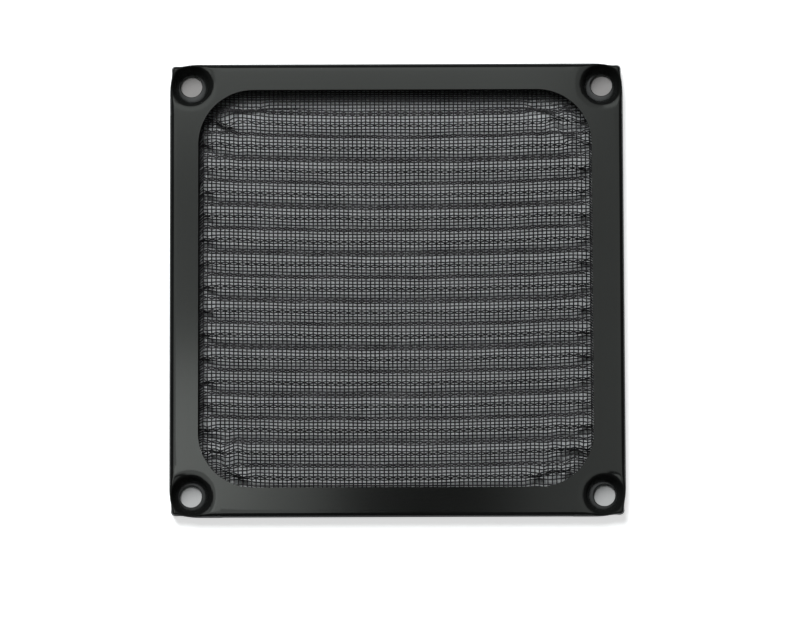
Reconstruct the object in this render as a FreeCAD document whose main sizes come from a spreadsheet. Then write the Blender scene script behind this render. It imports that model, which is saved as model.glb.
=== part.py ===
"""Guard for the air side of a 92 mm fan: a folded sheet frame that holds a pleated wire cloth.

The guard lies on its back hems. +Z points out of its face, +Y is the top of the face, and the
origin is in the middle of the back, on the surface that it lies on. All sizes are in millimetres.
"""

import FreeCAD
import Part
import math
import os
import Sketcher

# Every size that can be set by itself, with what it is.
SIZES = (
    ("hole_spacing", "82.5", "between the screw holes of a 92 mm fan, both ways"),
    ("hole_inset", "4.25", "from a screw hole to the frame's sides"),
    ("frame_depth", "3", "from the back hems to the face"),
    ("sheet_thickness", "0.6", "the frame's sheet"),
    ("bend_radius", "1", "outside of the folds between face, walls and hems"),
    ("corner_radius", "1.1", "outside of the upright corners"),
    ("corner_run", "8", "part of each side, up to its corner, that draws in"),
    ("corner_pull", "0.38", "how far a side has drawn in at its corner"),
    ("face_left", "5.75", "from the frame's left side to the opening"),
    ("face_right", "6.35", "from the frame's right side to the opening"),
    ("face_top", "5.3", "from the top of the frame to the opening"),
    ("face_bottom", "5.9", "from the bottom of the frame to the opening"),
    ("opening_radius", "11", "corners of the opening"),
    ("hem_width", "4.6", "of the strips folded in behind"),
    ("hem_stop", "10.5", "from the frame's corner to the end of a hem at the wall"),
    ("hem_slant", "1.8", "how much sooner a hem ends at its free edge"),
    ("hole_diameter", "4.35", "of a screw hole"),
    ("seat_ring", "0.27", "flat ring round a screw hole, in the floor of its dimple"),
    ("dimple_slope", "60", "of a dimple's wall against the face, in degrees"),
    ("dimple_rim", "0.9", "radius where the face rolls into a dimple"),
    ("cloth_thickness", "0.5", "of the woven wire cloth, as a plain sheet"),
    ("cloth_clearance", "0.5", "from the cloth to the walls"),
    ("cloth_headroom", "0.1", "from the cloth's turned-up rim to the inside of the face"),
    ("corner_crop", "5.4", "from a screw hole to the cropped corner of the cloth"),
    ("pleat_count", "16", "ridges across the opening"),
    ("pleat_height", "1.2", "from the floor of a valley to the crest of a ridge"),
    ("pleat_wall_run", "0.7", "width of a pleat's steep wall, seen from above"),
    ("pleat_fold", "0.35", "leg of the flat that eases an outer fold of the cloth"),
    ("first_pleat", "5.4", "from the top of the opening to the middle of the first ridge"),
    ("last_pleat", "3.65", "from the bottom of the opening to the middle of the last ridge"),
    ("field_margin", "1.2", "from the opening's sides to the foot of the ridges' ends"),
    ("field_skirt", "1.1", "from the outer ridges' feet to the edge of the pleated field"),
    ("field_crop", "7.5", "leg of the pleated field's cropped corners"),
    ("end_run", "1.7", "width of the slope at a ridge's end, seen from above"),
    ("gap_width", "1.1", "of a gap in the cloth, across a pleat"),
    ("gap_bridge", "1.2", "between gaps that lie end to end"),
    ("gap_columns", "3", "gaps along each ridge and each valley"),
)

PARTS_DIR = "parts"
TOLERANCE = 1e-4

# How far a cutting tool reaches past what it cuts.
SPARE = "1"

# Expressions on the sheet that several features share.
SHEET = "dims.sheet_thickness"
CLOTH = "dims.cloth_thickness"
HOLE = "dims.hole_spacing / 2"
SIDE = "(dims.hole_spacing / 2 + dims.hole_inset)"
UNDER_FACE = f"(dims.frame_depth - {SHEET})"

# The opening's four edges, the outer ridges' middles, and the middle of the pleated field.
LEFT = f"(dims.face_left - {SIDE})"
RIGHT = f"({SIDE} - dims.face_right)"
TOP = f"({SIDE} - dims.face_top)"
BOTTOM = f"(dims.face_bottom - {SIDE})"
FIRST_RIDGE = f"({TOP} - dims.first_pleat)"
LAST_RIDGE = f"({BOTTOM} + dims.last_pleat)"
MIDDLE_X = f"(({LEFT} + {RIGHT}) / 2)"
MIDDLE_Y = f"(({FIRST_RIDGE} + {LAST_RIDGE}) / 2)"

# Sizes of the pleats and of the field that they fill.
PITCH = f"(({FIRST_RIDGE} - {LAST_RIDGE}) / (dims.pleat_count - 1))"
FOLD_SHIFT = (
    f"({CLOTH} * (sqrt(dims.pleat_height^2 + dims.pleat_wall_run^2) - dims.pleat_wall_run)"
    " / dims.pleat_height)"
)
RIDGE_FOOT = f"({PITCH} / 4 + dims.pleat_wall_run / 2 + {FOLD_SHIFT} / 2)"
FIELD_X = f"(({RIGHT} - {LEFT}) / 2 - dims.field_margin)"
FIELD_Y = f"({PITCH} * (dims.pleat_count - 1) / 2 + {RIDGE_FOOT} + dims.field_skirt)"

# Where a dimple's floor ends, and the sine, cosine and tangent of its wall's slope.
FLOOR = f"({HOLE} + dims.hole_diameter / 2 + dims.seat_ring)"
SINE = "sin(dims.dimple_slope)"
COSINE = "cos(dims.dimple_slope)"
TANGENT = "tan(dims.dimple_slope)"

doc = FreeCAD.newDocument("fan_guard")
dims = doc.addObject("Spreadsheet::Sheet", "dims")
for row, (alias, number, note) in enumerate(SIZES, 1):
    dims.set(f"A{row}", alias)
    dims.set(f"B{row}", number)
    dims.set(f"C{row}", note)
    dims.setAlias(f"B{row}", alias)
doc.recompute()


def new_body(name):
    """Starts a body whose label is its name."""
    body = doc.addObject("PartDesign::Body", name)
    body.Label = name
    body.AllowCompound = True
    return body


def origin_feature(body, role):
    """Finds one of a body's own origin planes or axes by its role."""
    return next(item for item in body.Origin.OriginFeatures if item.Role == role)


def new_sketch(body, name, role="XY_Plane", lift="0"):
    """Starts a sketch on one of a body's own origin planes, moved along the plane's normal."""
    sketch = body.newObject("Sketcher::SketchObject", name)
    sketch.AttachmentSupport = [(origin_feature(body, role), "")]
    sketch.MapMode = "FlatFace"
    sketch.setExpression("AttachmentOffset.Base.z", lift)
    return sketch


def value(expression):
    """Works out an expression on the sheet."""
    return float(dims.evalExpression(expression.replace("dims.", "")))


def arc_between(start, end, radius):
    """Makes the short arc that turns left from start to end."""
    chord = end - start
    rise = math.sqrt(max(radius**2 - (chord.Length / 2) ** 2, 0))
    left = FreeCAD.Vector(-chord.y, chord.x, 0).normalize()
    centre = (start + end) / 2 + left * rise
    circle = Part.Circle(centre, FreeCAD.Vector(0, 0, 1), radius)
    return Part.ArcOfCircle(circle, circle.parameter(start), circle.parameter(end))


def hold(sketch, geometry, end, axis, expression):
    """Ties one coordinate of a point to an expression on the sheet."""
    if expression == "0":
        cross_axis = -2 if axis == "X" else -1
        sketch.addConstraint(Sketcher.Constraint("PointOnObject", geometry, end, cross_axis))
        return
    kind = f"Distance{axis}"
    rule = Sketcher.Constraint(kind, -1, 1, geometry, end, value(expression))
    sketch.setExpression(f"Constraints[{sketch.addConstraint(rule)}]", expression)


def trace(sketch, corners, arcs=()):
    """Draws a closed outline through corners given as expressions.

    arcs maps the number of a corner to the radius of the arc that leaves it. A radius with a
    minus sign in front turns right instead of left.
    """
    arcs = dict(arcs)
    points = [FreeCAD.Vector(value(x), value(y), 0) for x, y in corners]
    ends = []
    for number, start in enumerate(points):
        end = points[(number + 1) % len(points)]
        radius = arcs.get(number)
        if radius is None:
            ends.append((sketch.addGeometry(Part.LineSegment(start, end)), 1, 2))
        elif radius.startswith("-"):
            ends.append((sketch.addGeometry(arc_between(end, start, value(radius[1:]))), 2, 1))
        else:
            ends.append((sketch.addGeometry(arc_between(start, end, value(radius))), 1, 2))
    for number, (x, y) in enumerate(corners):
        before, _, last = ends[number - 1]
        geometry, first, _ = ends[number]
        sketch.addConstraint(Sketcher.Constraint("Coincident", before, last, geometry, first))
        hold(sketch, geometry, first, "X", x)
        hold(sketch, geometry, first, "Y", y)
    for number, radius in arcs.items():
        size = radius.lstrip("-")
        rule = Sketcher.Constraint("Radius", ends[number][0], value(size))
        sketch.setExpression(f"Constraints[{sketch.addConstraint(rule)}]", size)


def minus(expression):
    """Changes the sign of an expression that is one number, name or bracket."""
    return expression[1:] if expression.startswith("-") else f"-{expression}"


def four_ways(corners):
    """Turns the corners of one side of a square through its other three sides."""
    turned = list(corners)
    for _ in range(3):
        corners = [(minus(y), x) for x, y in corners]
        turned += corners
    return turned


def extrude(kind, body, sketch, name, length, both=False, reverse=False):
    """Adds a pad, or cuts a pocket, with its length tied to the sheet."""
    feature = body.newObject(f"PartDesign::{kind}", name)
    feature.Profile = sketch
    feature.setExpression("Length", length)
    feature.SideType = "Symmetric" if both else "One side"
    feature.Reversed = reverse
    doc.recompute()
    return feature


def turn(kind, body, sketch, name):
    """Revolves a sketch, or cuts it as a groove, about its one construction line."""
    feature = body.newObject(f"PartDesign::{kind}", name)
    feature.Profile = sketch
    feature.ReferenceAxis = (sketch, ["Axis0"])
    feature.Angle = 360
    doc.recompute()
    return feature


def ease_edges(kind, body, name, chosen, **sizes):
    """Fillets or chamfers the edges of a body's tip that the given test picks."""
    base = body.Tip
    picked = [f"Edge{n}" for n, edge in enumerate(base.Shape.Edges, 1) if chosen(edge)]
    feature = body.newObject(f"PartDesign::{kind}", name)
    feature.Base = (base, picked)
    if len(sizes) == 2:
        feature.ChamferType = "Two distances"
    for size, expression in sizes.items():
        feature.setExpression(size, expression)
    doc.recompute()
    return feature


def four_corners(body, feature, name):
    """Repeats a feature at the four sides or corners."""
    pattern = body.newObject("PartDesign::PolarPattern", name)
    pattern.Originals = [feature]
    pattern.Axis = (origin_feature(body, "Z_Axis"), [""])
    pattern.Angle = 360
    pattern.Occurrences = 4
    body.Tip = pattern
    doc.recompute()
    return pattern


def combine(body, kind, tool, name):
    """Fuses another body with this one, cuts it away, or keeps what they share."""
    feature = body.newObject("PartDesign::Boolean", name)
    feature.Type = kind
    feature.setObjects([tool])
    body.Tip = feature
    doc.recompute()
    return feature


def near(first, second):
    """Tells whether two lengths are the same."""
    return abs(first - second) < TOLERANCE


def level_at(height):
    """Makes a test for edges in the level plane at this height."""
    return lambda edge: near(edge.BoundBox.ZMin, height) and near(edge.BoundBox.ZMax, height)


def corner_at(reach):
    """Makes a test for upright edges at the corners of a square that reaches this far."""

    def chosen(edge):
        box = edge.BoundBox
        place = edge.CenterOfMass
        upright = box.XLength < TOLERANCE and box.YLength < TOLERANCE
        return upright and near(abs(place.x), reach) and near(abs(place.y), reach)

    return chosen


def frame_outline(sketch, inset):
    """Square with straight sides whose ends draw in towards the corners."""
    side = f"({SIDE} - {inset})"
    straight = f"({SIDE} - dims.corner_run)"
    corner = f"({side} - dims.corner_pull)"
    trace(sketch, four_ways([(side, f"-{straight}"), (side, straight), (corner, corner)]))


def opening_outline(sketch):
    """Rectangle with rounded corners, from its right side round to its bottom."""
    radius = "dims.opening_radius"
    corners = [
        (RIGHT, f"{BOTTOM} + {radius}"),
        (RIGHT, f"{TOP} - {radius}"),
        (f"{RIGHT} - {radius}", TOP),
        (f"{LEFT} + {radius}", TOP),
        (LEFT, f"{TOP} - {radius}"),
        (LEFT, f"{BOTTOM} + {radius}"),
        (f"{LEFT} + {radius}", BOTTOM),
        (f"{RIGHT} - {radius}", BOTTOM),
    ]
    trace(sketch, corners, dict.fromkeys(range(1, len(corners), 2), radius))


def cropped_field(sketch, inset):
    """Outline of the pleated field, with straight cropped corners, moved in by an inset."""
    half_x = f"({FIELD_X} - {inset})"
    half_y = f"({FIELD_Y} - {inset})"
    crop = f"(dims.field_crop - {inset} * (2 - sqrt(2)))"
    corners = []
    for sign_x, sign_y in (("", "-"), ("", ""), ("-", ""), ("-", "-")):
        level_x = f"{MIDDLE_X} + {sign_x}1 * ({half_x} - {crop})"
        upright_y = f"{MIDDLE_Y} + {sign_y}1 * ({half_y} - {crop})"
        level_end = (level_x, f"{MIDDLE_Y} + {sign_y}1 * {half_y}")
        upright_end = (f"{MIDDLE_X} + {sign_x}1 * {half_x}", upright_y)
        corners += [level_end, upright_end] if sign_x != sign_y else [upright_end, level_end]
    trace(sketch, corners)


def dimple_sketch(body, name):
    """Starts a sketch in the upright plane through a screw hole, with the hole's axis in it."""
    sketch = new_sketch(body, name, "XZ_Plane", f"-{HOLE}")
    bottom = FreeCAD.Vector(value(HOLE), -value(SPARE), 0)
    top = FreeCAD.Vector(value(HOLE), value(SPARE), 0)
    axis = sketch.addGeometry(Part.LineSegment(bottom, top), True)
    hold(sketch, axis, 1, "X", HOLE)
    hold(sketch, axis, 2, "X", HOLE)
    hold(sketch, axis, 1, "Y", f"-{SPARE}")
    hold(sketch, axis, 2, "Y", SPARE)
    return sketch


def hem_sketch(body):
    """Strip folded in behind one side, with slanting ends. It reaches out into the wall."""
    sketch = new_sketch(body, "hem_outline")
    wall_end = f"({SIDE} - dims.hem_stop)"
    free_end = f"({wall_end} - dims.hem_slant)"
    free_edge = f"-({SIDE} - dims.hem_width)"
    corners = [
        (f"-{wall_end}", f"-{SIDE}"),
        (wall_end, f"-{SIDE}"),
        (free_end, free_edge),
        (f"-{free_end}", free_edge),
    ]
    trace(sketch, corners)
    return sketch


def make_inside():
    """The room inside the folded sheet, as a solid to cut away."""
    body = new_body("sheet_inside")
    sketch = new_sketch(body, "inside_outline")
    frame_outline(sketch, SHEET)
    extrude("Pad", body, sketch, "inside_block", UNDER_FACE)
    corner = corner_at(value(f"{SIDE} - {SHEET} - dims.corner_pull"))
    under_face = level_at(value(UNDER_FACE))
    bend = f"dims.bend_radius - {SHEET}"
    ease_edges("Fillet", body, "inside_corners", corner, Radius=f"dims.corner_radius - {SHEET}")
    ease_edges("Fillet", body, "inside_face_bend", under_face, Radius=bend)

    hem = extrude("Pocket", body, hem_sketch(body), "hem", SHEET, reverse=True)
    four_corners(body, hem, "hems")
    wall = value(f"{SIDE} - {SHEET}")
    on_hem = level_at(value(SHEET))

    def at_hem_bend(edge):
        place = edge.CenterOfMass
        return on_hem(edge) and near(max(abs(place.x), abs(place.y)), wall)

    ease_edges("Fillet", body, "inside_hem_bends", at_hem_bend, Radius=bend)

    sketch = dimple_sketch(body, "dimple_outside")
    ease_end = f"({FLOOR} + {SHEET} * {SINE})"
    ease_height = f"({SHEET} * (1 - {COSINE}))"
    wall_top = f"({ease_end} + (dims.frame_depth - {ease_height}) / {TANGENT})"
    corners = [
        (HOLE, "0"),
        (FLOOR, "0"),
        (ease_end, ease_height),
        (wall_top, "dims.frame_depth"),
        (HOLE, "dims.frame_depth"),
    ]
    trace(sketch, corners)
    dimple = turn("Groove", body, sketch, "dimple_room")
    four_corners(body, dimple, "dimple_rooms")
    return body


def make_frame():
    """One folded sheet: face, walls, back hems and four dimples with screw holes."""
    body = new_body("front_frame")
    sketch = new_sketch(body, "frame_outline")
    frame_outline(sketch, "0")
    extrude("Pad", body, sketch, "frame_block", "dims.frame_depth")
    corner = corner_at(value(f"{SIDE} - dims.corner_pull"))
    on_face = level_at(value("dims.frame_depth"))
    ease_edges("Fillet", body, "frame_corners", corner, Radius="dims.corner_radius")
    ease_edges("Fillet", body, "face_bend", on_face, Radius="dims.bend_radius")
    combine(body, "Cut", make_inside(), "folded_sheet")

    sketch = new_sketch(body, "hem_bend_outline", "YZ_Plane")
    bend_start = f"-({SIDE} - dims.bend_radius)"
    corners = [(f"-{SIDE}", "0"), (bend_start, "0"), (f"-{SIDE}", "dims.bend_radius")]
    trace(sketch, corners, {1: "-dims.bend_radius"})
    length = f"2 * ({SIDE} - dims.hem_stop)"
    bend = extrude("Pocket", body, sketch, "hem_bend", length, both=True)
    four_corners(body, bend, "hem_bends")

    sketch = new_sketch(body, "opening_outline")
    opening_outline(sketch)
    extrude("Pocket", body, sketch, "opening", "dims.frame_depth", reverse=True)

    sketch = dimple_sketch(body, "dimple_inside")
    rim_height = f"(dims.frame_depth - dims.dimple_rim * (1 - {COSINE}))"
    rim_start = f"({FLOOR} + ({rim_height} - {SHEET}) / {TANGENT})"
    rim_end = f"({rim_start} + dims.dimple_rim * {SINE})"
    halfway = "(dims.dimple_slope / 2)"
    rim_middle = f"({rim_end} - dims.dimple_rim * sin{halfway})"
    middle_height = f"(dims.frame_depth - dims.dimple_rim * (1 - cos{halfway}))"
    hole_wall = f"({HOLE} + dims.hole_diameter / 2)"
    above = f"(dims.frame_depth + {SPARE})"
    corners = [
        (HOLE, f"-{SPARE}"),
        (hole_wall, f"-{SPARE}"),
        (hole_wall, SHEET),
        (FLOOR, SHEET),
        (rim_start, rim_height),
        (rim_middle, middle_height),
        (rim_end, "dims.frame_depth"),
        (rim_end, above),
        (HOLE, above),
    ]
    trace(sketch, corners)
    dimple = turn("Groove", body, sketch, "dimple")
    four_corners(body, dimple, "dimples")
    return body


def field_block(name, lift):
    """Block over the pleated field whose top slopes down at its edge, as the pleats do."""
    body = new_body(name)
    sketch = new_sketch(body, f"{name}_outline", lift=f"{lift} - {SPARE}")
    cropped_field(sketch, "0")
    rise = f"(dims.pleat_height + {SPARE})"
    extrude("Pad", body, sketch, f"{name}_block", f"{SPARE} + {rise}")
    on_top = level_at(value(f"{lift} + {rise}"))
    run = f"{rise} * dims.end_run / dims.pleat_height"
    ease_edges("Chamfer", body, f"{name}_slope", on_top, Size=rise, Size2=run)
    return body


def wave_block(name, bottom, lift, foot, eased):
    """Ridges side by side, from one level up to one side of the pleated cloth."""
    body = new_body(name)
    sketch = new_sketch(body, f"{name}_outline", "YZ_Plane")
    crest = f"({foot} - dims.pleat_wall_run)"
    top = f"({lift} + dims.pleat_height)"
    corners = [
        (f"{LAST_RIDGE} - {PITCH} / 2", bottom),
        (f"{LAST_RIDGE} + {PITCH} / 2", bottom),
        (f"{LAST_RIDGE} + {PITCH} / 2", lift),
        (f"{LAST_RIDGE} + {foot}", lift),
        (f"{LAST_RIDGE} + {crest}", top),
        (f"{LAST_RIDGE} - {crest}", top),
        (f"{LAST_RIDGE} - {foot}", lift),
        (f"{LAST_RIDGE} - {PITCH} / 2", lift),
    ]
    trace(sketch, corners)
    extrude("Pad", body, sketch, f"{name}_ridge", f"2 * {SIDE}", both=True)
    middle = value(LAST_RIDGE)
    height, reach = (top, crest) if eased == "crest" else (lift, foot)
    on_level = level_at(value(height))
    reach = value(reach)

    def at_outer_fold(edge):
        return on_level(edge) and near(abs(edge.CenterOfMass.y - middle), reach)

    ease_edges("Chamfer", body, f"{name}_folds", at_outer_fold, Size="dims.pleat_fold")
    pattern = body.newObject("PartDesign::LinearPattern", f"{name}_ridges")
    pattern.TransformMode = "Whole shape"
    pattern.Direction = (origin_feature(body, "Y_Axis"), [""])
    pattern.Mode = "Spacing"
    pattern.setExpression("Offset", PITCH)
    pattern.setExpression("Occurrences", "dims.pleat_count")
    body.Tip = pattern
    doc.recompute()
    return body


def make_gaps():
    """Bars along the crests and the valleys, as a solid that cuts the gaps in the cloth."""
    bars = new_body("gap_bars")
    half_field = f"({FIELD_X} - dims.end_run - dims.gap_bridge / 2)"
    step = f"(2 * ({half_field} + dims.gap_bridge / 2) / dims.gap_columns)"
    lowest = f"({LAST_RIDGE} - {PITCH} / 2)"
    sketch = new_sketch(bars, "gap_outline")
    for column in range(int(value("dims.gap_columns"))):
        left = f"{MIDDLE_X} - {half_field} + {column} * {step}"
        right = f"{left} + {step} - dims.gap_bridge"
        low = f"{lowest} - dims.gap_width / 2"
        high = f"{lowest} + dims.gap_width / 2"
        trace(sketch, [(left, low), (right, low), (right, high), (left, high)])
    bar = extrude("Pad", bars, sketch, "gap_bar", "dims.frame_depth")
    rows = bars.newObject("PartDesign::LinearPattern", "gap_rows")
    rows.Originals = [bar]
    rows.Direction = (origin_feature(bars, "Y_Axis"), [""])
    rows.Mode = "Spacing"
    rows.setExpression("Offset", f"{PITCH} / 2")
    rows.setExpression("Occurrences", "2 * dims.pleat_count + 1")
    bars.Tip = rows
    doc.recompute()

    room = new_body("gap_room")
    sketch = new_sketch(room, "gap_room_outline", lift=f"-{SPARE}")
    cropped_field(sketch, "(dims.end_run + dims.gap_bridge / 2)")
    extrude("Pad", room, sketch, "gap_room_block", f"dims.frame_depth + 2 * {SPARE}")
    combine(room, "Common", bars, "gaps")
    return room


def make_mesh():
    """Pleated wire cloth with a flat margin and a turned-up rim, held in the folded sheet."""
    body = new_body("mesh_screen")
    sketch = new_sketch(body, "cloth_outline", lift=SHEET)
    side = f"({SIDE} - {SHEET} - dims.cloth_clearance)"
    crop = f"(2 * {HOLE} - dims.corner_crop * sqrt(2) - {side})"
    trace(sketch, four_ways([(side, f"-{crop}"), (side, crop)]))
    extrude("Pad", body, sketch, "cloth", CLOTH)

    sketch = new_sketch(body, "rim_outline", lift=SHEET)
    rim = f"({side} - {CLOTH})"
    trace(sketch, [(rim, f"-{crop}"), (side, f"-{crop}"), (side, crop), (rim, crop)])
    rim_height = f"{UNDER_FACE} - {SHEET} - dims.cloth_headroom"
    four_corners(body, extrude("Pad", body, sketch, "rim", rim_height), "rims")

    valley = f"({SHEET} + {CLOTH})"
    crowns = field_block("crown_field", valley)
    waves = wave_block("crown", SHEET, valley, RIDGE_FOOT, "crest")
    combine(crowns, "Common", waves, "crowns")
    combine(body, "Fuse", crowns, "pleats")

    hollow_foot = f"({RIDGE_FOOT} - {FOLD_SHIFT})"
    hollows = field_block("hollow_field", SHEET)
    waves = wave_block("hollow", f"({SHEET} - {SPARE})", SHEET, hollow_foot, "foot")
    combine(hollows, "Common", waves, "hollows")
    combine(body, "Cut", hollows, "hollow_pleats")
    combine(body, "Cut", make_gaps(), "gapped_cloth")
    return body


def check(bodies):
    """Stops the script if a feature failed or a piece isn't one sound solid."""
    for item in doc.Objects:
        if "Invalid" in item.State or "Error" in item.State:
            raise RuntimeError(f"{item.Name} failed: {item.getStatusString()}")
    for body in bodies:
        shape = body.Shape
        if shape.isNull() or not shape.isValid() or len(shape.Solids) != 1:
            raise RuntimeError(f"{body.Label} isn't one valid solid")


def main():
    """Builds both pieces and writes each to its own file."""
    bodies = [make_frame(), make_mesh()]
    check(bodies)
    os.makedirs(PARTS_DIR, exist_ok=True)
    for body in bodies:
        body.Shape.exportStep(os.path.join(PARTS_DIR, f"{body.Label}.step"))
        print(f"{body.Label}: {body.Shape.Volume:.1f} mm3, {len(body.Shape.Faces)} faces")


main()
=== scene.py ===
"""Looks of a 92 mm fan guard: a folded black sheet frame round a pleated black wire cloth.

The guard's constants and shape functions are in millimetres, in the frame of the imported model, and
each finished piece is scaled to metres once. The property groups, finishes and stage are in metres.
"""

import bisect
import math

import bmesh
import bpy
from mathutils import Matrix, Vector, noise


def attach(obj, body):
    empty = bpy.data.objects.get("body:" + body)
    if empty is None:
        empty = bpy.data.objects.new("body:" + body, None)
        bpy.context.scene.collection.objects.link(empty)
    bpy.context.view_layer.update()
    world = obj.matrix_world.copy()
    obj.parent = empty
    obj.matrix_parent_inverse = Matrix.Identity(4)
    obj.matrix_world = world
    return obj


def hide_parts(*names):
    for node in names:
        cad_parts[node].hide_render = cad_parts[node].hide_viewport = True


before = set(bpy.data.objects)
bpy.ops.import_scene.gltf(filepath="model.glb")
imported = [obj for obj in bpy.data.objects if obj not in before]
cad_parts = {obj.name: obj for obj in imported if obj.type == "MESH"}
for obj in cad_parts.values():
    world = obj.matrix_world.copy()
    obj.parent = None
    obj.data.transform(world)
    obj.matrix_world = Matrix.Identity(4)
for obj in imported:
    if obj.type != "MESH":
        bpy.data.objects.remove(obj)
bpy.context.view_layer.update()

bl_info = {
    "name": "Fan guard",
    "version": (1, 0, 0),
    "blender": (4, 5, 0),
    "location": "View3D > Sidebar > Fan guard",
    "description": "Builds a folded sheet frame and the pleated wire cloth that it holds",
    "category": "Object",
}

MILLIMETRE = 0.001
WHITE = (1.0, 1.0, 1.0, 1.0)

# The four corners as signs of x and y, and how far out a screw hole and the frame's sides lie.
CORNERS = ((1, 1), (-1, 1), (-1, -1), (1, -1))
HOLE_PLACE = 41.25
SIDE = 45.499

# Levels above the surface that the guard lies on. The cloth keeps above its lowest one.
FACE = 3.0
DIMPLE_FLOOR = 0.6
CLOTH_LEVEL = 0.98
CLOTH_LOWEST = 0.33

# Edges of the opening in the frame's face, and the radius of its corners.
OPENING = {"left": -39.75, "right": 39.15, "top": 40.2, "bottom": -39.6}
OPENING_RADIUS = 11.0

# Where a side is drawn in the most, measured from its corner, and over what length.
PULL_PLACE = 1.9
PULL_LENGTH = 2.0

# A dimple: where its floor ends, the width of its rounded rim, the rise of its wall and of what
# goes on above the face beyond the rim, and the width over which it melts into the frame's bend.
DIMPLE_FLOOR_END = 2.23
DIMPLE_RIM = 0.5
DIMPLE_SLOPE = math.tan(math.radians(52))
DIMPLE_BEYOND = 0.5
DIMPLE_MELT = 0.45

# How close points of the frame's mesh are welded, and how near the face its flat faces lie.
WELD = 0.002
NEAR_FACE = 0.01

# Where the straight strips of the frame end and its corner patches start, and how much sooner a
# hem ends at its free edge.
STRIP_END = 35.0
HEM_SLANT = 1.8

# Lines of the frame's mesh: in from the outline along the bend, across the flat face, levels down
# a wall, in along a hem, and along a strip, where they lie closer beside the opening's corners.
BEND_LINES = (0.0, 0.08, 0.22, 0.42, 0.68, 1.0)
FLAT_LINES = 9
WALL_LINES = (1.5, 1.0, 0.5, 0.0)
HEM_LINES = (2.2, 3.4)
HEM_ARC_POINTS = 6
CLOSE_LINES = (9, 27.6, 33.6)
WIDE_LINES = (15, -25.0, 25.0)

# Rings of a corner patch round its screw hole: steady ones, and how many spread to its edge. Points
# along its outline and round the opening's corner, and how the outline is found: how far out from
# the hole it is looked for, and in how many halvings.
STEADY_RINGS = (2.21, 2.23, 2.3, 2.75, 3.25)
SPREAD_RINGS = 15
OUTLINE_POINTS = 73
TURN_POINTS = 10
OUTLINE_REACH = 20.0
OUTLINE_HALVINGS = 40

# The pleated field: its middle, its half sizes, the leg of its cropped corners, and its ridges.
FIELD_MIDDLE = (-0.3, -0.575)
FIELD_HALF = (39.2, 38.2)
FIELD_CROP = 6.0
RIDGES = 16
FIRST_RIDGE = 34.25
PITCH = 4.7167

# A pleat's profile: steps along half of it, and the share of it that is a plain wave.
PROFILE_STEPS = 120
WAVE_SHARE = 0.12

# How far the pleats rise towards their left and right ends, with the change up the guard, the half
# sizes that this is measured at, and where it stops.
BOW_LEFT = (0.5, 0.25)
BOW_RIGHT = (0.62, 0.04)
BOW_HALF = (31, 36)
BOW_END = 39.5

# How the cloth is uneven: where a ridge ends, the slope there, waves and crumples, and the ruffled
# corners, with where these start and the width over which they grow.
END_WANDER = 0.7
END_SLOPE = 1.4
WAVE_DEPTH = 0.16
CRUMPLE_SHIFT = 0.25
CRUMPLE_RISE = 0.3
RUFFLE_DEPTH = 0.7
RUFFLE_START = (26, 22)
RUFFLE_GROWTH = (8, 10)

# Creases pressed into the cloth near the corners of its field, from one end to the other, with the
# depth and width of a crease, the share of their way that wires beside it are drawn towards it,
# how far away that still counts, and the box round a crease's start beyond which it ends.
CREASES = (
    (-37.4, 34.4, -33.7, 32.9),
    (-32.2, 36.2, -27.5, 36.5),
    (27.4, 36.6, 30.8, 35.9),
    (30.8, 35.9, 32.0, 34.5),
    (34.0, 31.6, 38.3, 29.3),
    (-38.0, -32.1, -35.7, -32.4),
    (-33.7, -36.4, -30.8, -37.7),
    (27.4, -37.6, 30.6, -36.3),
    (30.6, -36.3, 33.7, -36.4),
    (32.9, -32.1, 37.2, -32.0),
)
CREASE_DEPTH = 1.0
CREASE_WIDTH = 0.7
CREASE_PULL = 0.66
CREASE_REACH = 1.4
CREASE_BOX = (9, 6)

# Notches between the ridges' ends: how far in from the field's side, their length and width, their
# place in a pleat, and how deep they are with how much that varies.
NOTCH_PLACE = 1.5
NOTCH_LENGTH = 1.4
NOTCH_WIDTH = 0.6
NOTCH_PHASE = 0.3
NOTCH_DEPTH = 0.9
NOTCH_CHANGE = 0.7

# The cloth's half width, how far in from it the outer wires lie and the upright ones end, and how
# far it is cropped round the screw holes.
CLOTH_HALF = 44.4
OUTER_WIRE = 0.2
WIRE_END = 0.15
CLOTH_CORNERS = 2 * HOLE_PLACE - 5.4 * math.sqrt(2)

# The flat margins are gathered: seen from above they take this share of the cloth's length, but
# for a smooth run above the first ridge.
GATHERED = 0.64
SMOOTH_RUN = 1.7

# How far along the fold the cloth's slope is measured to each side.
SLOPE_STEP = 0.15


class FrameSizes(bpy.types.PropertyGroup):
    """Sizes and finish of the folded sheet frame."""

    sheet: bpy.props.FloatProperty(
        name="Sheet", description="Thickness of the sheet", default=0.0006, unit="LENGTH"
    )
    bend: bpy.props.FloatProperty(
        name="Bend", description="Outside radius of the folds", default=0.001, unit="LENGTH"
    )
    corner: bpy.props.FloatProperty(
        name="Corner", description="Radius of the upright corners", default=0.0011, unit="LENGTH"
    )
    corner_pull: bpy.props.FloatProperty(
        name="Corner pull",
        description="How far the sides draw in beside a corner",
        default=0.00038,
        unit="LENGTH",
    )
    hem: bpy.props.FloatProperty(
        name="Hem",
        description="Width of the strips folded in behind",
        default=0.0046,
        unit="LENGTH",
    )
    hole: bpy.props.FloatProperty(
        name="Hole", description="Diameter of a screw hole", default=0.00435, unit="LENGTH"
    )
    paint: bpy.props.FloatVectorProperty(
        name="Paint",
        description="Colour of the frame",
        default=(0.0048, 0.0052, 0.0050),
        subtype="COLOR",
        size=3,
    )


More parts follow.
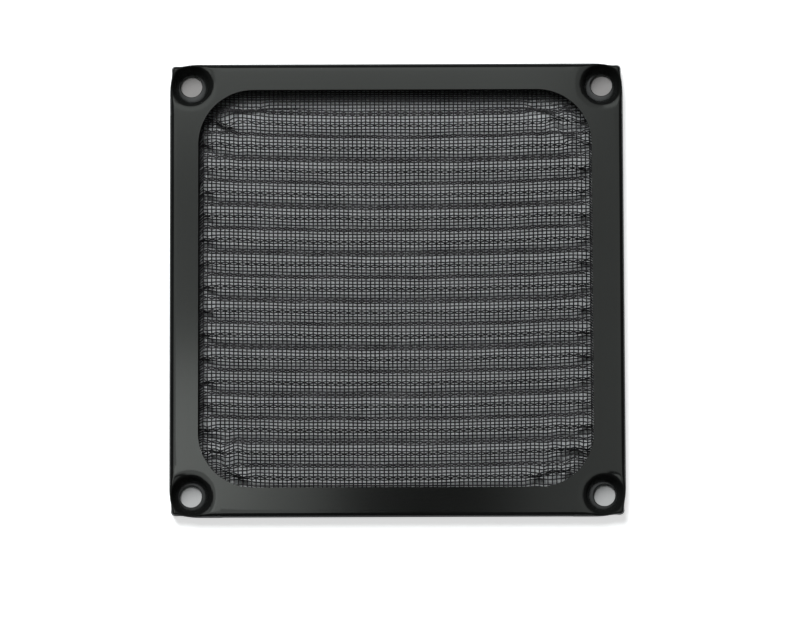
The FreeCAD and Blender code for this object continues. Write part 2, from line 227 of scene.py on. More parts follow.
class ClothSizes(bpy.types.PropertyGroup):
    """Sizes and finish of the pleated wire cloth."""

    wire: bpy.props.FloatProperty(
        name="Wire", description="Diameter of a wire", default=0.00027, unit="LENGTH"
    )
    warp_pitch: bpy.props.FloatProperty(
        name="Warp pitch",
        description="Between the wires that run up the guard",
        default=0.000882,
        unit="LENGTH",
    )
    wefts: bpy.props.FloatProperty(
        name="Wefts", description="Wires that run along each pleat", default=9.5
    )
    height: bpy.props.FloatProperty(
        name="Pleat height", description="From valley to crest", default=0.0017, unit="LENGTH"
    )
    steepness: bpy.props.FloatProperty(
        name="Steepness",
        description="How steep a pleat's wall is against its crest",
        default=3.4,
    )
    paint: bpy.props.FloatVectorProperty(
        name="Paint",
        description="Colour of the wires",
        default=(0.020, 0.020, 0.021),
        subtype="COLOR",
        size=3,
    )


class StageLooks(bpy.types.PropertyGroup):
    """Floor, lamps and camera."""

    floor: bpy.props.FloatVectorProperty(
        name="Floor",
        description="Colour of the floor",
        default=(0.675, 0.70, 0.71),
        subtype="COLOR",
        size=3,
    )
    key: bpy.props.FloatProperty(
        name="Key", description="Brightness of the key lamp", default=18.2
    )
    panels: bpy.props.FloatProperty(
        name="Panels", description="Brightness of the soft panels overhead", default=0.305
    )
    fill: bpy.props.FloatProperty(
        name="Fill", description="Strength of the world", default=0.025
    )
    lens: bpy.props.FloatProperty(
        name="Lens",
        description="Focal length of the camera",
        default=156.04,
        subtype="DISTANCE_CAMERA",
    )


# Shader maths


class Signal:
    """A socket of a material's nodes that takes part in Python expressions."""

    def __init__(self, finish, socket):
        self.finish = finish
        self.socket = socket

    def join(self, operation, *others):
        """Adds a Math node that starts with this signal."""
        return self.finish.node("ShaderNodeMath", {"operation": operation}, self, *others)

    def __add__(self, other):
        return self.join("ADD", other)

    __radd__ = __add__

    def __mul__(self, other):
        return self.join("MULTIPLY", other)

    __rmul__ = __mul__

    def __sub__(self, other):
        return self.join("SUBTRACT", other)

    def __rsub__(self, other):
        return self.finish.node("ShaderNodeMath", {"operation": "SUBTRACT"}, other, self)

    def __abs__(self):
        return self.join("ABSOLUTE")


class Finish:
    """The nodes of a material or a world, built one by one."""

    def __init__(self, holder, output="ShaderNodeOutputMaterial"):
        holder.use_nodes = True
        self.holder = holder
        self.tree = holder.node_tree
        self.tree.nodes.clear()
        self.output = self.tree.nodes.new(output)

    def node(self, kind, settings=None, *values, output=0, **named):
        """Adds a node with its settings, fills its sockets, and hands back one of its outputs."""
        node = self.tree.nodes.new(kind)
        for name, setting in (settings or {}).items():
            setattr(node, name, setting)
        for place, value in enumerate(values):
            self.fill(node.inputs[place], value)
        for name, value in named.items():
            self.fill(node.inputs[name.replace("_", " ")], value)
        return Signal(self, node.outputs[output])

    def fill(self, socket, value):
        """Links a signal to a socket, or sets its value. None leaves it as it is."""
        if isinstance(value, Signal):
            self.tree.links.new(value.socket, socket)
        elif value is not None:
            socket.default_value = value

    def place(self):
        """Object coordinates."""
        return self.node("ShaderNodeTexCoord", output="Object")

    def split(self, place):
        """Splits a place into x, y and z."""
        first = self.node("ShaderNodeSeparateXYZ", None, place)
        return [Signal(self, socket) for socket in first.socket.node.outputs]

    def grain(self, place, scale, detail):
        """Noise from 0 to 1."""
        return self.node(
            "ShaderNodeTexNoise", None, Vector=place, Scale=scale, Detail=detail, output="Fac"
        )

    def spread(self, value, limits, results):
        """Maps a value between two limits to two results, smoothly and within them."""
        smooth = {"interpolation_type": "SMOOTHSTEP"}
        return self.node("ShaderNodeMapRange", smooth, value, *limits, *results)

    def blend(self, share, first, second):
        """Mixes two colours, whose sockets come after those for numbers and vectors."""
        skipped = [None] * 5
        colours = {"data_type": "RGBA"}
        return self.node("ShaderNodeMix", colours, share, *skipped, first, second, output=2)

    def show(self, shader):
        """Sends a shader to the surface."""
        self.tree.links.new(shader.socket, self.output.inputs["Surface"])
        return self.holder


def rgba(colour, level=1.0):
    """Adds the fourth number to a colour, made lighter or darker by a level."""
    return (*(part * level for part in colour), 1.0)


# Where the coat thickens at the edge of a dimple, from the hole's axis, and where it thins towards
# the frame's sides, from the middle. The sides and dimples keep a thin one.
DIMPLE_EDGE = (0.0038, 0.0048)
SIDE_EDGE = (0.0446, 0.0452)
DIMPLE_THINNING = 0.8
SIDE_THINNING = 0.75
THINNEST_COAT = 0.1


def frame_finish(paint):
    """Satin black, faintly cloudy, under a coat that is thin in the dimples and on the sides."""
    finish = Finish(bpy.data.materials.new("black_frame"))
    place = finish.place()
    x, y, _ = finish.split(place)
    across = abs(x) - HOLE_PLACE * MILLIMETRE
    along = abs(y) - HOLE_PLACE * MILLIMETRE
    reach = (across * across + along * along).join("SQRT")
    pressed = finish.spread(reach, DIMPLE_EDGE, (1.0, 0.0))
    outward = abs(x).join("MAXIMUM", abs(y))
    thinner = finish.spread(outward, SIDE_EDGE, (0.0, SIDE_THINNING))
    coat = (1.0 - pressed * DIMPLE_THINNING - thinner).join("MAXIMUM", THINNEST_COAT)
    cloud = finish.grain(place, scale=55.0, detail=3.0)
    fine = finish.grain(place, scale=1400.0, detail=2.0)
    peel = finish.grain(place, scale=2600.0, detail=1.0)
    share = finish.spread(cloud, (0.3, 0.7), (0.0, 1.0))
    shader = finish.node(
        "ShaderNodeBsdfPrincipled",
        None,
        Base_Color=finish.blend(share, rgba(paint, 0.85), rgba(paint, 1.2)),
        Roughness=finish.spread(cloud, (0.25, 0.75), (0.09, 0.12)) + fine * 0.02,
        IOR=1.3,
        Normal=finish.node("ShaderNodeBump", None, Strength=0.05, Distance=0.00004, Height=peel),
        Coat_Weight=coat,
        Coat_Roughness=0.11,
        Coat_IOR=2.3,
    )
    return finish.show(shader)


def cloth_finish(paint):
    """Black coated wire, slightly uneven in colour and gloss."""
    finish = Finish(bpy.data.materials.new("black_wire_cloth"))
    place = finish.place()
    patch = finish.grain(place, scale=160.0, detail=2.0)
    speck = finish.grain(place, scale=2400.0, detail=1.0)
    share = finish.spread(patch, (0.3, 0.7), (0.0, 1.0))
    shader = finish.node(
        "ShaderNodeBsdfPrincipled",
        None,
        Base_Color=finish.blend(share, rgba(paint, 0.7), rgba(paint, 1.5)),
        Roughness=finish.spread(speck, (0.3, 0.7), (0.3, 0.45)),
        Normal=finish.node("ShaderNodeBump", None, Strength=0.15, Distance=0.00002, Height=speck),
    )
    return finish.show(shader)


# The floor for the camera: where it turns white round the guard, how much light that adds, where
# the screw holes begin on the way to a corner, the grey of the painted shade on the floor in them,
# and how much of that painted shade the lower and the upper holes get.
WHITE_EDGE = (0.0440, 0.0452)
WHITE_GLOW = 0.65
HOLE_EDGE = (0.0740, 0.0770)
HOLE_PAINTED_SHADE = (0.252, 0.248, 0.246)
HOLE_HEIGHTS = (-0.03, 0.03)
HOLE_SHADE_SHARES = (0.58, 1.0)


def floor_finish(colour):
    """Pale paper. The camera sees it white round the guard, and with painted shade in the screw
    holes, deeper under the upper ones.
    """
    finish = Finish(bpy.data.materials.new("white_floor"))
    x, y, _ = finish.split(finish.place())
    seen = finish.node("ShaderNodeLightPath", output="Is Camera Ray")
    behind = finish.node("ShaderNodeNewGeometry", output="Backfacing")
    outward = abs(x).join("MAXIMUM", abs(y))
    around = finish.spread(outward, WHITE_EDGE, (0.0, 1.0)).join("MAXIMUM", behind)
    # Painted shade: where the floor shows through the screw holes it is mixed towards a darker grey,
    # more under the upper holes than the lower ones.
    corner = finish.spread(abs(x) + abs(y), HOLE_EDGE, (0.0, 1.0))
    hole_shade_share = finish.spread(y, HOLE_HEIGHTS, HOLE_SHADE_SHARES)
    paper = finish.node("ShaderNodeBsdfDiffuse", None, Color=rgba(colour))
    shaded = finish.node("ShaderNodeBsdfDiffuse", None, Color=rgba(HOLE_PAINTED_SHADE))
    glow = finish.node("ShaderNodeEmission", None, WHITE, WHITE_GLOW)
    bright = finish.node("ShaderNodeAddShader", None, paper, glow)
    under = finish.node("ShaderNodeMixShader", None, seen * corner * hole_shade_share, paper, shaded)
    return finish.show(finish.node("ShaderNodeMixShader", None, seen * around, under, bright))


# Shapes


def laid_grid(bm, columns, rows, place):
    """Adds a grid, and moves the vertex in each column and row to the place given for it."""
    made = bmesh.ops.create_grid(bm, x_segments=columns - 1, y_segments=rows - 1, size=1.0)
    for vertex in made["verts"]:
        column = round((vertex.co.x + 1) / 2 * (columns - 1))
        row = round((vertex.co.y + 1) / 2 * (rows - 1))
        vertex.co = place(column, row)


def spaced(count, low, high):
    """Evenly spaced numbers, both ends included."""
    return [low + (high - low) * step / (count - 1) for step in range(count)]


def soft_minimum(first, second, width):
    """The lower of two heights, with the crease between them rounded over a width."""
    share = max(width - abs(first - second), 0) / width
    return min(first, second) - share * share * width / 4


def placed(name, data):
    """Adds an object with this data to the scene."""
    piece = bpy.data.objects.new(name, data)
    bpy.context.scene.collection.objects.link(piece)
    return piece


class SheetShape:
    """The outside of the folded sheet."""

    def __init__(self, sizes):
        self.bend = sizes.bend / MILLIMETRE
        self.corner = sizes.corner / MILLIMETRE
        self.pull = sizes.corner_pull / MILLIMETRE
        self.hem = sizes.hem / MILLIMETRE
        self.hole = sizes.hole / MILLIMETRE / 2

    def drawn_in(self, run):
        """How far a side has drawn in at this run from the corner."""
        return self.pull * math.exp(-(((run - PULL_PLACE) / PULL_LENGTH) ** 2))

    def inset(self, u, v):
        """Distance in from the outline, for a point in the first quadrant."""
        from_side = SIDE - self.drawn_in(SIDE - v) - u
        from_top = SIDE - self.drawn_in(SIDE - u) - v
        if from_side >= self.corner or from_top >= self.corner:
            return min(from_side, from_top)
        return self.corner - math.hypot(self.corner - from_side, self.corner - from_top)

    def level(self, u, v):
        """Height of the face, its bend and the dimple, for a point in the first quadrant."""
        inset = min(max(self.inset(u, v), 0), self.bend)
        bent = FACE - self.bend + math.sqrt(max(self.bend**2 - (self.bend - inset) ** 2, 0))
        reach = math.hypot(u - HOLE_PLACE, v - HOLE_PLACE)
        return max(soft_minimum(bent, self.dimple(reach), DIMPLE_MELT), DIMPLE_FLOOR)

    def dimple(self, reach):
        """Height of a dimple's surface at a distance from the hole's axis, rising on beyond it."""
        drop = DIMPLE_SLOPE * DIMPLE_RIM / 2
        wall_end = DIMPLE_FLOOR_END + (FACE - DIMPLE_FLOOR - drop) / DIMPLE_SLOPE
        rim_end = wall_end + DIMPLE_RIM
        if reach <= DIMPLE_FLOOR_END:
            return DIMPLE_FLOOR
        if reach <= wall_end:
            return DIMPLE_FLOOR + (reach - DIMPLE_FLOOR_END) * DIMPLE_SLOPE
        if reach >= rim_end:
            return FACE + (reach - rim_end) * DIMPLE_BEYOND
        return FACE - drop * ((rim_end - reach) / DIMPLE_RIM) ** 2


def opening_reach(sign_x, sign_y):
    """How far the opening reaches to a side and up or down from the middle, in one quadrant."""
    wide = abs(OPENING["right" if sign_x > 0 else "left"])
    high = abs(OPENING["top" if sign_y > 0 else "bottom"])
    return wide, high


def opening_edge(place, own, other):
    """How far out the opening's edge lies beside a place on one axis of a quadrant.

    The opening reaches as far as own on that axis, and as far as other on the other one.
    """
    over = place - (own - OPENING_RADIUS)
    if over <= 0:
        return other
    return other - OPENING_RADIUS + math.sqrt(OPENING_RADIUS**2 - over**2)


def lines_across(inner):
    """Distances from the middle of the lines from the outline to the opening's edge."""
    flat = spaced(FLAT_LINES, SIDE - BEND_LINES[-1], inner)
    return [SIDE - inset for inset in BEND_LINES[:-1]] + flat


def outline_point(shape, angle):
    """Where a ray from the screw hole meets the outline, in the first quadrant."""
    near, far = 0.0, OUTLINE_REACH
    for _ in range(OUTLINE_HALVINGS):
        middle = (near + far) / 2
        u = HOLE_PLACE + middle * math.cos(angle)
        v = HOLE_PLACE + middle * math.sin(angle)
        if shape.inset(u, v) > 0:
            near = middle
        else:
            far = middle
    return (HOLE_PLACE + near * math.cos(angle), HOLE_PLACE + near * math.sin(angle))


def patch_edge(shape, sign_x, sign_y):
    """Points round a corner patch, in the first quadrant, and how many of them are the outline."""
    start = math.atan2(STRIP_END - HOLE_PLACE, SIDE - HOLE_PLACE)
    stop = math.pi / 2 - start
    outline = [outline_point(shape, angle) for angle in spaced(OUTLINE_POINTS, start, stop)]
    outline[0] = (SIDE, STRIP_END)
    outline[-1] = (STRIP_END, SIDE)
    wide, high = opening_reach(sign_x, sign_y)
    top = opening_edge(STRIP_END, wide, high)
    side = opening_edge(STRIP_END, high, wide)
    down = [(STRIP_END, line) for line in lines_across(top)]
    out = [(line, STRIP_END) for line in reversed(lines_across(side))]
    wide -= OPENING_RADIUS
    high -= OPENING_RADIUS
    turn_start = math.atan2(top - high, STRIP_END - wide)
    turn_stop = math.atan2(STRIP_END - high, side - wide)
    turn = [
        (wide + OPENING_RADIUS * math.cos(angle), high + OPENING_RADIUS * math.sin(angle))
        for angle in spaced(TURN_POINTS, turn_start, turn_stop)
    ]
    return outline + down[1:] + turn[1:-1] + out[:-1], len(outline)


def add_patch(bm, shape, sign_x, sign_y):
    """Adds one corner of the face with its dimple, and the straight wall below it."""
    edge, outline = patch_edge(shape, sign_x, sign_y)
    edge.append(edge[0])
    steady = (shape.hole, *STEADY_RINGS)
    shares = spaced(SPREAD_RINGS, 0.0, 1.0)[1:]

    def on_patch(column, row):
        u, v = edge[column]
        reach = math.hypot(u - HOLE_PLACE, v - HOLE_PLACE)
        if row < len(steady):
            radius = steady[row]
        else:
            radius = steady[-1] + (reach - steady[-1]) * shares[row - len(steady)]
        share = radius / reach
        u = HOLE_PLACE + (u - HOLE_PLACE) * share
        v = HOLE_PLACE + (v - HOLE_PLACE) * share
        return Vector((sign_x * u, sign_y * v, shape.level(u, v)))

    laid_grid(bm, len(edge), len(steady) + len(shares), on_patch)

    def on_wall(column, row):
        u, v = edge[column]
        level = WALL_LINES[row - 1] if row else shape.level(u, v)
        return Vector((sign_x * u, sign_y * v, level))

    laid_grid(bm, outline, len(WALL_LINES) + 1, on_wall)


def add_strip(bm, shape, turn):
    """Adds the face, bend, wall and hem between two corners. turn counts quarter turns."""
    count, start, stop = CLOSE_LINES
    places = [-STRIP_END] + spaced(count, -stop, -start) + spaced(*WIDE_LINES)
    places += spaced(count, start, stop) + [STRIP_END]
    quarter = Matrix.Rotation(math.radians(90 * turn), 3, "Z")
    bend = shape.bend
    below = [(SIDE, WALL_LINES[0])]
    for angle in spaced(HEM_ARC_POINTS, 0.0, math.pi / 2):
        below.append((SIDE - bend + bend * math.cos(angle), bend - bend * math.sin(angle)))
    below += [(SIDE - inset, 0.0) for inset in (*HEM_LINES, shape.hem)]
    across = len(BEND_LINES) - 1 + FLAT_LINES

    def on_strip(column, row):
        along = places[column]
        if row < across:
            corner = quarter @ Vector((along, SIDE, 0))
            wide, high = opening_reach(corner.x >= 0, corner.y >= 0)
            if turn % 2:
                wide, high = high, wide
            inner = opening_edge(abs(along), wide, high)
            out = lines_across(inner)[across - 1 - row]
            return quarter @ Vector((along, out, shape.level(abs(along), out)))
        out, level = below[row - across]
        share = max(below[1][0] - out, 0) / shape.hem
        return quarter @ Vector((along * (1 - HEM_SLANT / STRIP_END * share), out, level))

    laid_grid(bm, len(places), across + len(below), on_strip)


class FANGUARD_OT_frame(bpy.types.Operator):
    """Folded sheet frame with its four dimples"""

    bl_idname = "fanguard.frame"
    bl_label = "Frame"

    def execute(self, context):
        sizes = context.scene.fan_guard_frame
        shape = SheetShape(sizes)
        bm = bmesh.new()
        for sign_x, sign_y in CORNERS:
            add_patch(bm, shape, sign_x, sign_y)
        for turn in range(4):
            add_strip(bm, shape, turn)
        bmesh.ops.remove_doubles(bm, verts=bm.verts, dist=WELD)
        bmesh.ops.recalc_face_normals(bm, faces=bm.faces)
        top = [face for face in bm.faces if face.calc_center_median().z > FACE - NEAR_FACE]
        if sum(face.normal.z for face in top) < 0:
            bmesh.ops.reverse_faces(bm, faces=bm.faces)
        bmesh.ops.scale(bm, vec=(MILLIMETRE,) * 3, verts=bm.verts)
        mesh = bpy.data.meshes.new("folded_frame")
        bm.to_mesh(mesh)
        bm.free()
        mesh.shade_smooth()
        mesh.materials.append(frame_finish(sizes.paint))
        piece = placed("folded_frame", mesh)
        wall = piece.modifiers.new("sheet", "SOLIDIFY")
        wall.thickness = sizes.sheet
        wall.offset = -1.0
        wall.use_even_offset = False
        edges = piece.modifiers.new("edges", "BEVEL")
        edges.width = 0.00007
        edges.segments = 2
        edges.limit_method = "ANGLE"
        edges.angle_limit = math.radians(60)
        edges.harden_normals = True
        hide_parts("front_frame")
        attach(piece, "root")
        return {"FINISHED"}


def creased(x, y):
    """Depth at a place, as a share of a crease's depth, and how far it is drawn up or down."""
    deepest = 0.0
    pull = 0.0
    for x1, y1, x2, y2 in CREASES:
        if abs(x - x1) > CREASE_BOX[0] or abs(y - y1) > CREASE_BOX[1]:
            continue
        along = Vector((x2 - x1, y2 - y1))
        share = min(max(Vector((x - x1, y - y1)).dot(along) / along.length_squared, 0.0), 1.0)
        beside = y1 + share * along.y - y
        away = math.hypot(x - x1 - share * along.x, beside)
        depth = math.exp(-((away / CREASE_WIDTH) ** 2))
        if depth > deepest:
            deepest = depth
            pull = CREASE_PULL * beside * math.exp(-((away / CREASE_REACH) ** 2))
    return deepest, pull


class ClothShape:
    """The middle surface of the pleated cloth.

    A run is a length along the cloth, down the guard from the top of its pleats. In a noise's place
    the factors set how fine it is, and lone numbers only keep it from looking like another noise.
    """

    def __init__(self, sizes):
        self.height = sizes.height / MILLIMETRE
        self.steepness = sizes.steepness
        self.steps = [(0.0, 0.0)]
        before = (0.0, 0.0)
        run = 0.0
        for step in range(1, PROFILE_STEPS + 1):
            share = step / PROFILE_STEPS
            here = (PITCH / 2 * step / PROFILE_STEPS, self.height * self.rise(share))
            run += math.dist(before, here)
            self.steps.append((run, share))
            before = here
        self.half = run
        self.period = 2 * run
        self.top = FIRST_RIDGE + PITCH / 2
        self.pleated = RIDGES * self.period
        self.bottom = self.top - RIDGES * PITCH

    def rise(self, share):
        """Height share at a share of the way from a valley's middle to a crest's middle."""
        across = 2 * share - 1
        steep = math.tanh(self.steepness * across) / math.tanh(self.steepness)
        wave = math.sin(math.pi / 2 * across)
        return 0.5 + 0.5 * (WAVE_SHARE * wave + (1 - WAVE_SHARE) * steep)

    def folded(self, run):
        """Place up the guard and height share at a run, if the pleats were perfect."""
        if run <= 0:
            return self.top - max(run, -SMOOTH_RUN) - min(run + SMOOTH_RUN, 0) * GATHERED, 0.0
        if run >= self.pleated:
            return self.bottom - (run - self.pleated) * GATHERED, 0.0
        number, rest = divmod(run, self.period)
        start = self.top - number * PITCH
        falling = rest > self.half
        if falling:
            rest = self.period - rest
        place = bisect.bisect_left(self.steps, (rest, 0.0))
        low, first = self.steps[max(place - 1, 0)]
        high, second = self.steps[min(place, PROFILE_STEPS)]
        share = first + (second - first) * (rest - low) / max(high - low, 1e-9)
        way = share * PITCH / 2
        return start - (PITCH - way if falling else way), self.rise(share)

    def bow(self, x, y):
        """How far the pleats rise towards their ends."""
        level, tilt = BOW_LEFT if x < 0 else BOW_RIGHT
        return (x / BOW_HALF[0]) ** 2 * (level + tilt * y / BOW_HALF[1])

    def stands(self, x, y, number):
        """How much of a pleat's height is left near the edge of the field, from 0 to 1."""
        across = abs(x - FIELD_MIDDLE[0])
        along = abs(y - FIELD_MIDDLE[1])
        uneven = noise.noise(Vector((1.7 * number, 5.1 if x > 0 else 9.3, 0.4)))
        from_corner = (sum(FIELD_HALF) - FIELD_CROP - across - along) / math.sqrt(2)
        inside = min(FIELD_HALF[0] - across, from_corner)
        share = min(max((inside + END_WANDER * uneven) / END_SLOPE, 0.0), 1.0)
        return share * share * (3 - 2 * share)

    def notched(self, x, y):
        """Depth and pull of the cloth between the ends of two ridges, as creased gives them."""
        away = (FIELD_HALF[0] - NOTCH_PLACE - abs(x - FIELD_MIDDLE[0])) / NOTCH_LENGTH
        number, rest = divmod(FIRST_RIDGE - y + self.bow(x, y), PITCH)
        if not 0 <= number < RIDGES:
            return 0.0, 0.0
        uneven = noise.noise(Vector((2.3 * number, 4.4 if x > 0 else 8.8, 1.5)))
        share = min(max(NOTCH_DEPTH + NOTCH_CHANGE * uneven, 0.0), 1.0)
        beside = rest - PITCH * NOTCH_PHASE
        depth = share * math.exp(-away * away - (beside / NOTCH_WIDTH) ** 2)
        return depth, CREASE_PULL * beside * share * math.exp(-away * away - beside * beside)

    def point(self, x, run):
        """Place of the cloth's middle surface at x and a run."""
        y, share = self.folded(run)
        level_run = min(max(run, 0), self.pleated)
        inside = 0 < run < self.pleated
        level_y = self.top - level_run * PITCH / self.period if inside else y
        stands = self.stands(x, level_y, int(level_run / self.period))
        y = level_y + (y - level_y) * stands
        z = CLOTH_LEVEL + self.height * share * stands
        crumple = noise.noise(Vector((x * 0.9, run * 0.8, 3.0)))
        near_end = 4 * stands * (1 - stands)
        wave = noise.noise(Vector((x * 0.12, y * 0.35, 7.0)))
        y += inside * WAVE_DEPTH * wave + CRUMPLE_SHIFT * near_end * crumple
        z += CRUMPLE_RISE * near_end * abs(crumple)
        if inside:
            if abs(x) < BOW_END:
                y += self.bow(x, y)
            ruffle = RUFFLE_DEPTH
            for place, start, growth in zip((x, y), RUFFLE_START, RUFFLE_GROWTH):
                ruffle *= min(max((abs(place) - start) / growth, 0.0), 1.0)
            y += ruffle * noise.noise(Vector((x * 0.33, y * 0.22, 11.0)))
        depth, pull = max(creased(x, y), self.notched(x, y))
        z = min(z, max(z - CREASE_DEPTH * depth, CLOTH_LOWEST))
        return Vector((x, y + pull, z))


class Weave:
    """The crossings of the cloth's wires, and the paths of the wires through them."""

    def __init__(self, sizes):
        self.shape = ClothShape(sizes)
        self.lift = sizes.wire / MILLIMETRE / 2
        outer = CLOTH_HALF - OUTER_WIRE
        warp_pitch = sizes.warp_pitch / MILLIMETRE
        half_count = int(outer / warp_pitch)
        self.warps = range(-half_count, half_count + 1)
        weft_pitch = self.shape.period / sizes.wefts
        above = SMOOTH_RUN + (outer - self.shape.top - SMOOTH_RUN) / GATHERED
        below = (outer + self.shape.bottom) / GATHERED
        self.wefts = range(int((above + self.shape.pleated + below) / weft_pitch) + 1)
        self.crossings = {
            (i, k): self.crossing(i * warp_pitch, -above + k * weft_pitch)
            for i in self.warps
            for k in self.wefts
        }

    def crossing(self, x, run):
        """Place and upward normal of the cloth at x and a run."""
        ahead = self.shape.point(x, run + SLOPE_STEP)
        tangent = (ahead - self.shape.point(x, run - SLOPE_STEP)).normalized()
        normal = Vector((0, -tangent.z, tangent.y))
        if normal.z < 0:
            normal.negate()
        return self.shape.point(x, run), normal

    def wire(self, numbers, side):
        """Path of a wire over and under by turns, as far as the cloth reaches."""
        path = []
        for i, k in numbers:
            here, normal = self.crossings[i, k]
            if abs(here.x) + abs(here.y) < CLOTH_CORNERS and abs(here.y) < CLOTH_HALF - WIRE_END:
                path.append(here + normal * self.lift * (side if (i + k) % 2 else -side))
        return path

    def across_pleats(self):
        """Paths of the wires that run up the guard."""
        return [self.wire([(i, k) for k in self.wefts], 1) for i in self.warps]

    def along_pleats(self):
        """Paths of the wires that run along the pleats."""
        paths = [self.wire([(i, k) for i in self.warps], -1) for k in self.wefts]
        return [path for path in paths if len(path) > 1]


def wire_mesh(name, paths, sizes, finish):
    """Sweeps a round wire along each path, and makes one mesh of them."""
    curve = bpy.data.curves.new(name, "CURVE")
    curve.dimensions = "3D"
    curve.bevel_depth = sizes.wire / 2
    curve.bevel_resolution = 1
    curve.use_fill_caps = True
    for path in paths:
        spline = curve.splines.new("POLY")
        spline.points.add(len(path) - 1)
        numbers = []
        for point in path:
            numbers += [point.x * MILLIMETRE, point.y * MILLIMETRE, point.z * MILLIMETRE, 1.0]
        spline.points.foreach_set("co", numbers)
    swept = placed(name, curve)
    bpy.context.view_layer.update()
    graph = bpy.context.evaluated_depsgraph_get()
    mesh = bpy.data.meshes.new_from_object(swept.evaluated_get(graph))
    bpy.data.objects.remove(swept)
    mesh.name = name
    mesh.shade_smooth()
    mesh.materials.clear()
    mesh.materials.append(finish)
    piece = placed(name, mesh)
    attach(piece, "root")
    return piece


class FANGUARD_OT_cloth(bpy.types.Operator):
    """Pleated plain-weave wire cloth"""

    bl_idname = "fanguard.cloth"
    bl_label = "Wire cloth"

    def execute(self, context):
        sizes = context.scene.fan_guard_cloth
        weave = Weave(sizes)
        finish = cloth_finish(sizes.paint)
        upright = weave.across_pleats()
        half = len(upright) // 2
        first = wire_mesh("upright_wires_left", upright[:half], sizes, finish)
        wire_mesh("upright_wires_right", upright[half:], sizes, finish)
        level = weave.along_pleats()
        half = len(level) // 2
        wire_mesh("level_wires_top", level[:half], sizes, finish)
        wire_mesh("level_wires_bottom", level[half:], sizes, finish)
        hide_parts("mesh_screen")
        return {"FINISHED"}


# Soft panels overhead, which face down: name, middle, width and depth, and brightness.
PANEL_COLOUR = (0.97, 1.03, 0.985)
PANELS = (
    ("top_panel", (-0.1675, 0.385, 0.95), (0.505, 0.44), 1.25),
    ("upper_left_panel", (-0.245, 0.113, 0.95), (0.35, 0.10), 0.72),
    ("left_panel", (-0.226, -0.17, 0.95), (0.388, 0.46), 1.05),
    ("left_glow", (-0.120, 0.01, 0.94), (0.10, 0.08), 1.15),
    ("right_panel", (0.256, 0.10, 0.95), (0.400, 1.0), 0.58),
)
KEY_PLACE = (-0.33, 0.75, 0.80)
KEY_SIZE = (0.6, 0.6)

# The world is darker overhead, from one height of the view to the other.
SKY_HEIGHTS = (0.75, 0.93)
OVERHEAD = 0.04

# Half size of the floor, and the camera's place and turns about x, y and z in degrees.
FLOOR_HALF = 4.0
CAMERA_PLACE = (0.00101, -0.06239, 0.700)
CAMERA_TURNS = (4.671, -0.031, -0.2)
SENSOR_WIDTH = 36.0


def add_lamp(name, place, target, size, brightness, colour=(1.0, 1.0, 1.0)):
    """Adds a soft rectangular lamp that faces a target. Its brightness is what a mirror shows."""
    lamp = bpy.data.lights.new(name, "AREA")
    lamp.shape = "RECTANGLE"
    lamp.size, lamp.size_y = size
    lamp.energy = math.pi * size[0] * size[1] * brightness
    lamp.color = colour
    holder = placed(name, lamp)
    holder.location = place
    holder.rotation_euler = (Vector(target) - Vector(place)).to_track_quat("-Z", "Y").to_euler()
    return holder


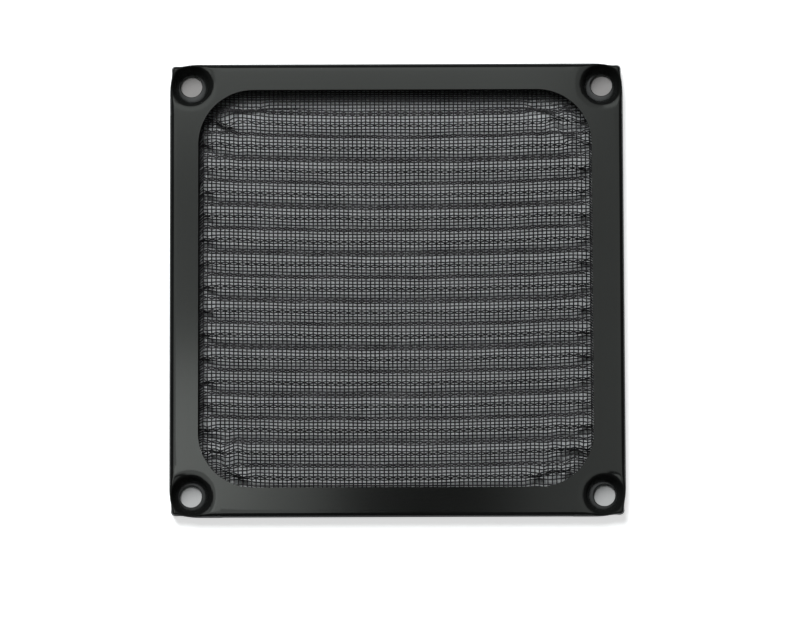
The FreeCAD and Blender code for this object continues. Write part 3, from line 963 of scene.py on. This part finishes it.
class FANGUARD_OT_stage(bpy.types.Operator):
    """Floor, lamps, world and camera"""

    bl_idname = "fanguard.stage"
    bl_label = "Stage"

    def execute(self, context):
        looks = context.scene.fan_guard_stage
        self.lay_floor(looks)
        self.light(context, looks)
        self.aim(context, looks)
        context.scene.view_settings.view_transform = "Standard"
        return {"FINISHED"}

    def lay_floor(self, looks):
        """A plain square floor."""
        bm = bmesh.new()
        bmesh.ops.create_grid(bm, x_segments=1, y_segments=1, size=FLOOR_HALF)
        mesh = bpy.data.meshes.new("floor")
        bm.to_mesh(mesh)
        bm.free()
        mesh.materials.append(floor_finish(looks.floor))
        placed("floor", mesh)

    def light(self, context, looks):
        """The lamps and the world, which the camera sees white."""
        key = add_lamp("key_lamp", KEY_PLACE, (0, 0, 0), KEY_SIZE, looks.key)
        key.visible_glossy = False
        for name, place, size, brightness in PANELS:
            below = (*place[:2], 0)
            add_lamp(name, place, below, size, brightness * looks.panels, PANEL_COLOUR)
        world = bpy.data.worlds.new("studio")
        sky = Finish(world, "ShaderNodeOutputWorld")
        height = sky.split(sky.node("ShaderNodeTexCoord", output="Generated"))[2]
        strength = sky.spread(height, SKY_HEIGHTS, (looks.fill, looks.fill * OVERHEAD))
        seen = sky.node("ShaderNodeLightPath", output="Is Camera Ray")
        dim = sky.node("ShaderNodeBackground", None, WHITE, strength)
        white = sky.node("ShaderNodeBackground", None, WHITE, 1.0)
        sky.show(sky.node("ShaderNodeMixShader", None, seen, dim, white))
        context.scene.world = world

    def aim(self, context, looks):
        """The camera, nearly straight above the guard."""
        camera = bpy.data.cameras.new("camera")
        camera.lens = looks.lens
        camera.sensor_width = SENSOR_WIDTH
        camera.sensor_fit = "HORIZONTAL"
        camera.clip_start = 0.01
        camera.clip_end = 20.0
        holder = placed("camera", camera)
        stand = Matrix.Translation(CAMERA_PLACE)
        for axis, turn in zip("XYZ", CAMERA_TURNS):
            stand = stand @ Matrix.Rotation(math.radians(turn), 4, axis)
        holder.matrix_world = stand
        context.scene.camera = holder


class FANGUARD_PT_parts(bpy.types.Panel):
    """Lists the guard's sizes and the operators that build it"""

    bl_idname = "FANGUARD_PT_parts"
    bl_label = "Fan guard"
    bl_space_type = "VIEW_3D"
    bl_region_type = "UI"
    bl_category = "Fan guard"

    def draw(self, context):
        for group, operator in (
            ("fan_guard_stage", "fanguard.stage"),
            ("fan_guard_frame", "fanguard.frame"),
            ("fan_guard_cloth", "fanguard.cloth"),
        ):
            sizes = getattr(context.scene, group)
            box = self.layout.box()
            for name in sizes.__annotations__:
                box.prop(sizes, name)
            box.operator(operator)


GROUPS = (
    ("fan_guard_frame", FrameSizes),
    ("fan_guard_cloth", ClothSizes),
    ("fan_guard_stage", StageLooks),
)
OPERATORS = (FANGUARD_OT_stage, FANGUARD_OT_frame, FANGUARD_OT_cloth)


def register():
    """Registers the classes and the scene's groups of sizes."""
    for name, group in GROUPS:
        bpy.utils.register_class(group)
        setattr(bpy.types.Scene, name, bpy.props.PointerProperty(type=group))
    for operator in OPERATORS:
        bpy.utils.register_class(operator)
    bpy.utils.register_class(FANGUARD_PT_parts)


def unregister():
    """Takes the classes and the groups of sizes away again."""
    bpy.utils.unregister_class(FANGUARD_PT_parts)
    for operator in reversed(OPERATORS):
        bpy.utils.unregister_class(operator)
    for name, group in reversed(GROUPS):
        delattr(bpy.types.Scene, name)
        bpy.utils.unregister_class(group)


def main():
    """Builds everything."""
    register()
    bpy.ops.fanguard.stage()
    bpy.ops.fanguard.frame()
    bpy.ops.fanguard.cloth()


if __name__ == "__main__":
    main()
